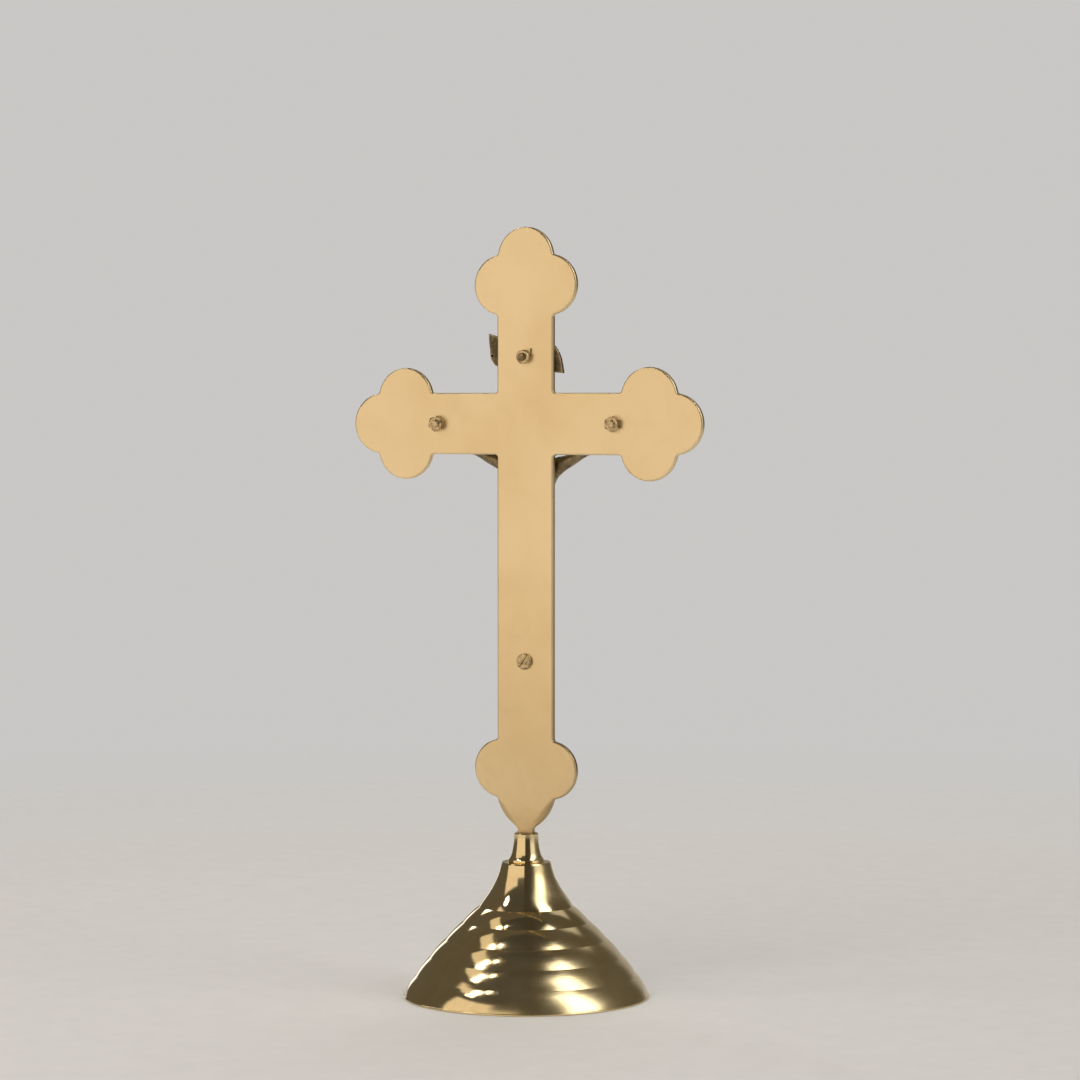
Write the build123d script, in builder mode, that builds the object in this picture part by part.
"""Standing altar cross of polished brass with an antiqued figure and scroll.

Millimetres.  +Z is up, -Y is the front (the side with the figure), +X is the
viewer's right when looking at the front.  The origin is the centre of the ring
that the base stands on.
"""
import os

from build123d import *

os.makedirs("parts", exist_ok=True)

# ---------------------------------------------------------------- dimensions
PLATE_T = 3.0            # thickness of the brass cross plate
BACK = PLATE_T / 2       # y of the plate's back face
FRONT = -PLATE_T / 2     # y of the plate's front face
BAR_W = 30.5             # width of the upright and of the crossbar
ARM_Z = 284.0            # height of the crossbar's centre line
TOP_Z = 381.0            # top of the cross
SPAN = 190.0             # tip to tip of the crossbar
LOBE_R = 15.0            # radius of every trefoil lobe
LOBE_OFF = 12.8          # side lobes' centres off the bar's axis
LOBE_IN = 28.5           # side lobes' centres in from the tip
NOTCH_Z = 99.6           # height of the notch above the lowest lobe
LOW_SIDE_Z = 113.0       # height of the lowest trefoil's side lobes
LOW_R = 14.5             # their radius
LOW_OFF = 13.3           # and how far their centres are off the axis
TANG_W = 8.0             # width of the tang below the plate
TANG_TOP_Z = 83.5        # where the lowest lobe runs into the tang
TANG_END_Z = 70.7        # bottom of the tang, seated on the collar's inner floor
EDGE_BACK = 1.0          # rounding of the plate's back edges
EDGE_FRONT = 0.6         # rounding of the plate's front edges

BASE_R = 61.0            # outer radius of the foot ring
BASE_TOP_Z = 67.0        # top face of the base, under the collar
BASE_TOP_R = 11.9        # radius of that top face
WEB_Z = 60.5             # underside of the solid crown inside the base
COLLAR_TOP_Z = 81.4      # top of the neck collar
COLLAR_BORE_R = 4.5      # socket for the tang
ROD_R = 2.98             # M6 mounting rod, brazed to the end of the tang
ROD_HOLE_R = 3.25        # clearance hole for the rod
ROD_END_Z = 50.4         # free end of the rod inside the base

ROD_NUT_AF = 10.0        # M6 nut across flats
ROD_NUT_H = 5.0          # M6 nut height
WASHER_R = 8.0           # washer under the base's crown
WASHER_T = 1.2

STUD_R = 1.98            # M4 studs and screw
STUD_HOLE_R = 2.15       # their clearance holes in the plate
STUD_OUT = 4.55          # studs stand this far off the plate's back face
NUT_AF = 7.0             # M4 nut across flats
NUT_H = 3.2              # M4 nut height
NUT_BORE_R = 2.0         # bore of the M4 nut
ROUND_AF = 6.7           # the scroll's nut, across what is left of its flats
ROUND_R = 3.5            # and the radius its corners were filed to
HAND_X = 48.0            # hand studs off the centre line
TITULUS_Z = 317.0        # scroll stud
FOOT_Z = 166.5           # foot screw
HEAD_R = 4.0             # slotted screw head
HEAD_H = 1.7             # height of the slotted head
SLOT_W = 1.2             # width of the screwdriver slot
SLOT_D = 0.9             # depth of the slot
SLOT_ANGLE = 35.0        # how far the slot was left turned from upright
FOOT_DEPTH = 4.2         # how far the screw runs into the feet

SCROLL_T = 2.4           # thickness of the scroll
EYE_R = 0.8              # eye of the scroll's curl


# ---------------------------------------------------------------- base
# outer profile of the turned base: the groove points between its rings,
# and for each ring a point on the swell between two grooves
GROOVES = [(54.6, 11.0), (47.7, 20.0), (39.8, 28.7), (31.2, 37.3), (23.2, 45.0)]
SWELLS = [(58.15, 6.37), (51.47, 15.74), (44.05, 24.62), (35.78, 33.28), (27.48, 41.44)]

with BuildPart() as base_cone:
    with BuildSketch(Plane.XZ) as base_profile:
        with BuildLine():
            Line((58.6, 0.0), (BASE_R - 0.4, 0.0))
            ThreePointArc((BASE_R - 0.4, 0.0), (BASE_R, 0.45), (BASE_R - 0.35, 1.1))
            ThreePointArc((BASE_R - 0.35, 1.1), SWELLS[0], GROOVES[0])
            ThreePointArc(GROOVES[0], SWELLS[1], GROOVES[1])
            ThreePointArc(GROOVES[1], SWELLS[2], GROOVES[2])
            ThreePointArc(GROOVES[2], SWELLS[3], GROOVES[3])
            ThreePointArc(GROOVES[3], SWELLS[4], GROOVES[4])
            # flare from the top ring up to the crown
            Spline(
                GROOVES[4], (21.6, 47.6), (18.9, 51.3), (15.7, 56.6),
                (13.5, 61.7), (12.3, 66.3),
            )
            Line((12.3, 66.3), (BASE_TOP_R, BASE_TOP_Z))
            Line((BASE_TOP_R, BASE_TOP_Z), (ROD_HOLE_R, BASE_TOP_Z))
            Line((ROD_HOLE_R, BASE_TOP_Z), (ROD_HOLE_R, WEB_Z))
            Line((ROD_HOLE_R, WEB_Z), (10.2, WEB_Z))
            # inside of the shell
            ThreePointArc((10.2, WEB_Z), (11.6, 59.9), (12.4, 58.4))
            Polyline((12.4, 58.4), (15.4, 52.8), (20.5, 45.6), (28.6, 37.2), (37.2, 28.5), (45.0, 19.9), (51.8, 11.0), (56.6, 4.2), (58.6, 0.0))
        make_face()
    revolve(axis=Axis.Z)
base_cone.part.label = "base_cone"
export_step(base_cone.part, "parts/base_cone.step")

# ---------------------------------------------------------------- neck collar
with BuildPart() as neck_collar:
    with BuildSketch(Plane.XZ) as collar_profile:
        with BuildLine():
            Line((ROD_HOLE_R, BASE_TOP_Z), (8.7, BASE_TOP_Z))
            Line((8.7, BASE_TOP_Z), (9.0, BASE_TOP_Z + 0.35))
            Line((9.0, BASE_TOP_Z + 0.35), (8.85, 68.3))
            Spline((8.85, 68.3), (7.65, 70.1), (6.9, 72.3), (6.4, 75.1), (6.12, 78.1), (6.05, 80.95))
            Line((6.05, 80.95), (5.65, COLLAR_TOP_Z))
            Line((5.65, COLLAR_TOP_Z), (COLLAR_BORE_R + 0.4, COLLAR_TOP_Z))
            Line((COLLAR_BORE_R + 0.4, COLLAR_TOP_Z), (COLLAR_BORE_R, COLLAR_TOP_Z - 0.4))
            Line((COLLAR_BORE_R, COLLAR_TOP_Z - 0.4), (COLLAR_BORE_R, TANG_END_Z))
            Line((COLLAR_BORE_R, TANG_END_Z), (ROD_HOLE_R, TANG_END_Z))
            Line((ROD_HOLE_R, TANG_END_Z), (ROD_HOLE_R, BASE_TOP_Z))
        make_face()
    revolve(axis=Axis.Z)
neck_collar.part.label = "neck_collar"
export_step(neck_collar.part, "parts/neck_collar.step")

# ---------------------------------------------------------------- cross plate
with BuildPart() as cross_plate:
    with BuildSketch(Plane.XZ.offset(-BACK)) as outline:
        # upright and crossbar
        with Locations((0, (TOP_Z - 20 + LOW_SIDE_Z) / 2)):
            Rectangle(BAR_W, TOP_Z - 20 - LOW_SIDE_Z)
        with Locations((0, ARM_Z)):
            Rectangle(SPAN - 40, BAR_W)
        # top trefoil
        with Locations((0, TOP_Z - LOBE_R), (-LOBE_OFF, TOP_Z - LOBE_IN), (LOBE_OFF, TOP_Z - LOBE_IN)):
            Circle(LOBE_R)
        # side trefoils
        for side in (-1, 1):
            tip = side * SPAN / 2
            with Locations(
                (tip - side * LOBE_R, ARM_Z),
                (tip - side * LOBE_IN, ARM_Z - LOBE_OFF),
                (tip - side * LOBE_IN, ARM_Z + LOBE_OFF),
            ):
                Circle(LOBE_R)
        # lowest trefoil: two side lobes, and a lobe that runs down into the tang
        with Locations((-LOW_OFF, LOW_SIDE_Z), (LOW_OFF, LOW_SIDE_Z)):
            Circle(LOW_R)
        with BuildLine():
            Line((-15.6, LOW_SIDE_Z), (-15.6, NOTCH_Z))
            ThreePointArc((-15.6, NOTCH_Z), (-13.0, 92.6), (-4.8, 84.5))
            Line((-4.8, 84.5), (-TANG_W / 2, TANG_TOP_Z))
            Line((-TANG_W / 2, TANG_TOP_Z), (-TANG_W / 2, TANG_END_Z))
            Line((-TANG_W / 2, TANG_END_Z), (TANG_W / 2, TANG_END_Z))
            Line((TANG_W / 2, TANG_END_Z), (TANG_W / 2, TANG_TOP_Z))
            Line((TANG_W / 2, TANG_TOP_Z), (4.8, 84.5))
            ThreePointArc((4.8, 84.5), (13.0, 92.6), (15.6, NOTCH_Z))
            Line((15.6, NOTCH_Z), (15.6, LOW_SIDE_Z))
            Line((15.6, LOW_SIDE_Z), (-15.6, LOW_SIDE_Z))
        make_face()
        # soften the inside corners where lobes and bars meet
        inner = [v for v in outline.vertices() if v.Y > TANG_TOP_Z + 6]
        fillet(inner, 1.4)
    extrude(amount=PLATE_T)
    # broken edges, none on the tang
    rim_top = TANG_TOP_Z + 1.3
    back_rim = [
        e for e in cross_plate.edges()
        if e.bounding_box().min.Y > BACK - 1e-3 and e.bounding_box().min.Z > rim_top - 0.5
    ]
    fillet(back_rim, EDGE_BACK)
    front_rim = [
        e for e in cross_plate.edges()
        if e.bounding_box().max.Y < FRONT + 1e-3 and e.bounding_box().min.Z > rim_top - 0.5
    ]
    fillet(front_rim, EDGE_FRONT)
    # fixing holes
    with Locations(Plane.XZ.offset(-BACK)):
        with Locations((-HAND_X, ARM_Z), (HAND_X, ARM_Z), (0, TITULUS_Z), (0, FOOT_Z)):
            Hole(STUD_HOLE_R)
cross_plate.part.label = "cross_plate"
export_step(cross_plate.part, "parts/cross_plate.step")

# ---------------------------------------------------------------- mounting rod
with BuildPart() as mounting_rod:
    with BuildSketch(Plane.XY.offset(ROD_END_Z)):
        Circle(ROD_R)
    extrude(amount=TANG_END_Z - ROD_END_Z)
    chamfer(mounting_rod.edges().sort_by(Axis.Z)[0], 0.5)
mounting_rod.part.label = "mounting_rod"
export_step(mounting_rod.part, "parts/mounting_rod.step")

# ---------------------------------------------------------------- base washer
with BuildPart() as base_washer:
    with BuildSketch(Plane.XY.offset(WEB_Z - WASHER_T)):
        Circle(WASHER_R)
        Circle(ROD_HOLE_R, mode=Mode.SUBTRACT)
    extrude(amount=WASHER_T)
    chamfer(base_washer.edges().group_by(Axis.Z)[0].sort_by(SortBy.RADIUS)[-1], 0.25)
base_washer.part.label = "base_washer"
export_step(base_washer.part, "parts/base_washer.step")

# ---------------------------------------------------------------- base nut
with BuildPart() as base_nut:
    with BuildSketch(Plane.XY.offset(WEB_Z - WASHER_T - ROD_NUT_H)):
        RegularPolygon(ROD_NUT_AF / 2, 6, major_radius=False)
    extrude(amount=ROD_NUT_H)
    # the crown on both faces
    with BuildSketch(Plane.XZ) as base_nut_cut:
        with BuildLine():
            z0 = WEB_Z - WASHER_T - ROD_NUT_H
            z1 = z0 + ROD_NUT_H
            Polyline(
                (0, z0), (ROD_NUT_AF / 2 - 0.05, z0), (ROD_NUT_AF / 2 + 0.9, z0 + 0.55),
                (ROD_NUT_AF / 2 + 0.9, z1 - 0.55), (ROD_NUT_AF / 2 - 0.05, z1), (0, z1), (0, z0),
            )
        make_face()
    revolve(axis=Axis.Z, mode=Mode.INTERSECT)
    with BuildSketch(Plane.XY.offset(WEB_Z - WASHER_T - ROD_NUT_H)):
        Circle(ROD_R + 0.02)
    extrude(amount=ROD_NUT_H, mode=Mode.SUBTRACT)
base_nut.part.label = "base_nut"
export_step(base_nut.part, "parts/base_nut.step")

# ---------------------------------------------------------------- scroll
# an S-shaped banner: the +X end is pointed at the top, the -X end at the bottom
SCROLL_RIGHT = [(21.6, 328.6), (21.3, 323.6), (20.9, 320.6), (20.5, 316.6), (18.2, 312.9)]
SCROLL_LOW = [(18.2, 312.9), (13.6, 311.6), (6.0, 312.2), (-4.0, 311.4), (-12.0, 309.7), (-18.9, 308.9)]
SCROLL_LEFT = [(-18.9, 308.9), (-18.5, 312.2), (-17.7, 316.4), (-16.2, 320.2), (-13.6, 323.5)]
SCROLL_TOP = [(-13.6, 323.5), (-9.8, 325.2), (-3.0, 325.4), (6.0, 325.2), (14.6, 326.6), (21.6, 328.6)]
with BuildPart() as titulus_scroll:
    with BuildSketch(Plane.XZ.offset(-FRONT)) as banner:
        with BuildLine() as banner_edge:
            Spline(*SCROLL_RIGHT)
            Spline(*SCROLL_LOW)
            Spline(*SCROLL_LEFT)
            Spline(*SCROLL_TOP)
        make_face()
    extrude(amount=SCROLL_T)
    # eye of the curl at the +X end
    with BuildSketch(Plane.XZ.offset(-FRONT)):
        with Locations((19.55, 317.65)):
            Circle(EYE_R)
    extrude(amount=1.4, mode=Mode.SUBTRACT)
    fillet(titulus_scroll.faces().sort_by(Axis.Y)[0].outer_wire().edges(), 0.5)
titulus_scroll.part.label = "titulus_scroll"
export_step(titulus_scroll.part, "parts/titulus_scroll.step")



# ---------------------------------------------------------------- studs and nuts
# half section that the nuts' outer corners are turned down to
NUT_TURNED = [
    (0, 0), (NUT_AF / 2 + 0.62, 0), (NUT_AF / 2 + 0.62, NUT_H - 0.42),
    (NUT_AF / 2 - 0.1, NUT_H), (0, NUT_H),
]

# outline of the burr on the scroll's nut, from the nut's axis, -X and up
BURR = [(-3.55, -4.2), (-3.25, -1.2), (-3.1, 0.3), (-1.8, -1.0), (-0.9, -3.1), (-2.3, -3.45)]

# M4 stud brazed to the back of the scroll, through the plate
with BuildPart() as titulus_stud:
    with BuildSketch(Plane((0.0, FRONT, TITULUS_Z), x_dir=(1, 0, 0), z_dir=(0, 1, 0))):
        Circle(STUD_R)
    extrude(amount=PLATE_T + STUD_OUT)
    chamfer(titulus_stud.edges().sort_by(Axis.Y)[-1], 0.35)
titulus_stud.part.label = "titulus_stud"
export_step(titulus_stud.part, "parts/titulus_stud.step")

# its nut, filed almost round, with a torn burr left at the foot of one side
with BuildPart() as titulus_nut:
    with BuildSketch(Plane((0.0, BACK, TITULUS_Z), x_dir=(1, 0, 0), z_dir=(0, 1, 0))):
        RegularPolygon(ROUND_AF / 2, 6, major_radius=False, rotation=12.0)
    extrude(amount=NUT_H)
    # corners filed down all round, and broken on the outer face
    with BuildSketch(Plane((0.0, BACK, TITULUS_Z), x_dir=(1, 0, 0), z_dir=(0, 0, 1))):
        Polygon(
            (0, 0), (ROUND_R, 0), (ROUND_R, NUT_H - 0.5),
            (ROUND_R - 0.45, NUT_H), (0, NUT_H), align=None,
        )
    revolve(axis=Axis((0.0, 0, TITULUS_Z), (0, 1, 0)), mode=Mode.INTERSECT)
    with BuildSketch(Plane((0.0, BACK, TITULUS_Z), x_dir=(1, 0, 0), z_dir=(0, 1, 0))):
        Polygon(*BURR, align=None)
    extrude(amount=1.3)
    with BuildSketch(Plane((0.0, BACK, TITULUS_Z), x_dir=(1, 0, 0), z_dir=(0, 1, 0))):
        Circle(NUT_BORE_R)
    extrude(amount=NUT_H, mode=Mode.SUBTRACT)
titulus_nut.part.label = "titulus_nut"
export_step(titulus_nut.part, "parts/titulus_nut.step")

# M4 stud brazed to the back of the figure's hand at -X
with BuildPart() as hand_stud_left:
    with BuildSketch(Plane((-HAND_X, FRONT, ARM_Z), x_dir=(1, 0, 0), z_dir=(0, 1, 0))):
        Circle(STUD_R)
    extrude(amount=PLATE_T + STUD_OUT)
    chamfer(hand_stud_left.edges().sort_by(Axis.Y)[-1], 0.35)
hand_stud_left.part.label = "hand_stud_left"
export_step(hand_stud_left.part, "parts/hand_stud_left.step")

# its nut, corner up
with BuildPart() as hand_nut_left:
    with BuildSketch(Plane((-HAND_X, BACK, ARM_Z), x_dir=(1, 0, 0), z_dir=(0, 1, 0))):
        RegularPolygon(NUT_AF / 2, 6, major_radius=False, rotation=30.0)
    extrude(amount=NUT_H)
    # corners turned off on the outer face
    with BuildSketch(Plane((-HAND_X, BACK, ARM_Z), x_dir=(1, 0, 0), z_dir=(0, 0, 1))):
        Polygon(*NUT_TURNED, align=None)
    revolve(axis=Axis((-HAND_X, 0, ARM_Z), (0, 1, 0)), mode=Mode.INTERSECT)
    with BuildSketch(Plane((-HAND_X, BACK, ARM_Z), x_dir=(1, 0, 0), z_dir=(0, 1, 0))):
        Circle(NUT_BORE_R)
    extrude(amount=NUT_H, mode=Mode.SUBTRACT)
hand_nut_left.part.label = "hand_nut_left"
export_step(hand_nut_left.part, "parts/hand_nut_left.step")

# M4 stud brazed to the back of the figure's hand at +X
with BuildPart() as hand_stud_right:
    with BuildSketch(Plane((HAND_X, FRONT, ARM_Z), x_dir=(1, 0, 0), z_dir=(0, 1, 0))):
        Circle(STUD_R)
    extrude(amount=PLATE_T + STUD_OUT)
    chamfer(hand_stud_right.edges().sort_by(Axis.Y)[-1], 0.35)
hand_stud_right.part.label = "hand_stud_right"
export_step(hand_stud_right.part, "parts/hand_stud_right.step")

# its nut
with BuildPart() as hand_nut_right:
    with BuildSketch(Plane((HAND_X, BACK, ARM_Z), x_dir=(1, 0, 0), z_dir=(0, 1, 0))):
        RegularPolygon(NUT_AF / 2, 6, major_radius=False, rotation=18.0)
    extrude(amount=NUT_H)
    # corners turned off on the outer face
    with BuildSketch(Plane((HAND_X, BACK, ARM_Z), x_dir=(1, 0, 0), z_dir=(0, 0, 1))):
        Polygon(*NUT_TURNED, align=None)
    revolve(axis=Axis((HAND_X, 0, ARM_Z), (0, 1, 0)), mode=Mode.INTERSECT)
    with BuildSketch(Plane((HAND_X, BACK, ARM_Z), x_dir=(1, 0, 0), z_dir=(0, 1, 0))):
        Circle(NUT_BORE_R)
    extrude(amount=NUT_H, mode=Mode.SUBTRACT)
hand_nut_right.part.label = "hand_nut_right"
export_step(hand_nut_right.part, "parts/hand_nut_right.step")

# ---------------------------------------------------------------- foot screw
with BuildPart() as foot_screw:
    with BuildSketch(Plane((0, BACK, FOOT_Z), x_dir=(1, 0, 0), z_dir=(0, 1, 0))):
        Circle(HEAD_R)
    extrude(amount=HEAD_H)
    fillet(foot_screw.edges().sort_by(Axis.Y)[-1], 0.7)
    with BuildSketch(Plane((0, BACK + HEAD_H, FOOT_Z), x_dir=(1, 0, 0), z_dir=(0, 1, 0))):
        Rectangle(SLOT_W, 3 * HEAD_R, rotation=-SLOT_ANGLE)
    extrude(amount=-SLOT_D, mode=Mode.SUBTRACT)
    with BuildSketch(Plane((0, BACK, FOOT_Z), x_dir=(1, 0, 0), z_dir=(0, -1, 0))):
        Circle(STUD_R)
    extrude(amount=PLATE_T + FOOT_DEPTH)
    chamfer(foot_screw.edges().sort_by(Axis.Y)[0], 0.35)
foot_screw.part.label = "foot_screw"
export_step(foot_screw.part, "parts/foot_screw.step")

# ---------------------------------------------------------------- figure
# one casting: a simple closed body of the true size and pose
def limb(p0, r0, p1, r1):
    """Tapered limb between two joints, into the part being built."""
    a, b = Vector(*p0), Vector(*p1)
    d = b - a
    with Locations(Location(Plane(origin=a + d * 0.5, z_dir=d))):
        Cone(r0, r1, d.length)


def joint(p, r):
    with Locations(p):
        Sphere(r)


SHOULDER = (12.4, -8.0, 262.3)
ELBOW = (32.4, -5.6, 271.9)
WRIST = (42.6, -3.8, 279.6)
with BuildPart() as corpus:
    # trunk
    for z, cx_, cy_, a_, b_ in (
        (263.0, 0.0, -7.8, 9.6, 4.6), (255.0, 0.2, -9.2, 10.6, 6.6),
        (241.0, 0.9, -8.2, 8.0, 5.2), (229.0, 0.8, -8.6, 9.6, 6.9), (218.5, 0.0, -10.6, 8.6, 7.3),
    ):
        with BuildSketch(Plane.XY.offset(z)):
            with Locations((cx_, cy_)):
                Ellipse(a_, b_)
    loft()
    # head bowed towards the figure's right, neck
    joint((-1.7, -10.2, 273.2), 5.3)
    joint((-2.3, -13.2, 269.3), 3.3)
    limb((0.0, -8.2, 260.0), 4.0, (-1.2, -9.4, 270.0), 3.4)
    # arms and hands
    for side in (-1, 1):
        sh = (side * SHOULDER[0], SHOULDER[1], SHOULDER[2])
        el = (side * ELBOW[0], ELBOW[1], ELBOW[2])
        wr = (side * WRIST[0], WRIST[1], WRIST[2])
        limb((side * 5.0, -8.4, 259.4), 4.6, sh, 3.9)
        joint(sh, 3.95)
        limb(sh, 3.6, el, 2.6)
        joint(el, 2.65)
        limb(el, 2.6, wr, 1.75)
        joint(wr, 1.9)
        with Locations(Location((side * HAND_X, FRONT - 1.5, ARM_Z), (0, -side * 40, 0))):
            Box(11.0, 3.0, 7.0)
    # legs, bent at the knee
    for side in (-1, 1):
        hip = (side * 4.3 + 0.6, -9.4, 226.5)
        knee = (side * 3.5 + 1.0, -15.2, 202.8)
        ankle = (side * 1.7 - 0.2, -6.6 - (1.4 if side < 0 else 0.0), 176.5)
        limb(hip, 5.1, knee, 3.6)
        joint(knee, 3.65)
        limb(knee, 3.5, ankle, 2.0)
        joint(ankle, 2.3)
    # crossed feet as one block, flat against the plate
    with BuildSketch(Plane.XY.offset(178.0)):
        with Locations((0.0, -5.6)):
            RectangleRounded(7.6, 6.6, 2.0)
    with BuildSketch(Plane.XY.offset(160.0)):
        with Locations((0.0, -4.6)):
            RectangleRounded(9.0, 6.2, 2.0)
    loft()
    # tapped hole for the foot screw
    with BuildSketch(Plane((0, FRONT - 5.0, FOOT_Z), x_dir=(1, 0, 0), z_dir=(0, 1, 0))):
        Circle(STUD_R + 0.02)
    extrude(amount=5.0, mode=Mode.SUBTRACT)
corpus.part.label = "corpus"
export_step(corpus.part, "parts/corpus.step")
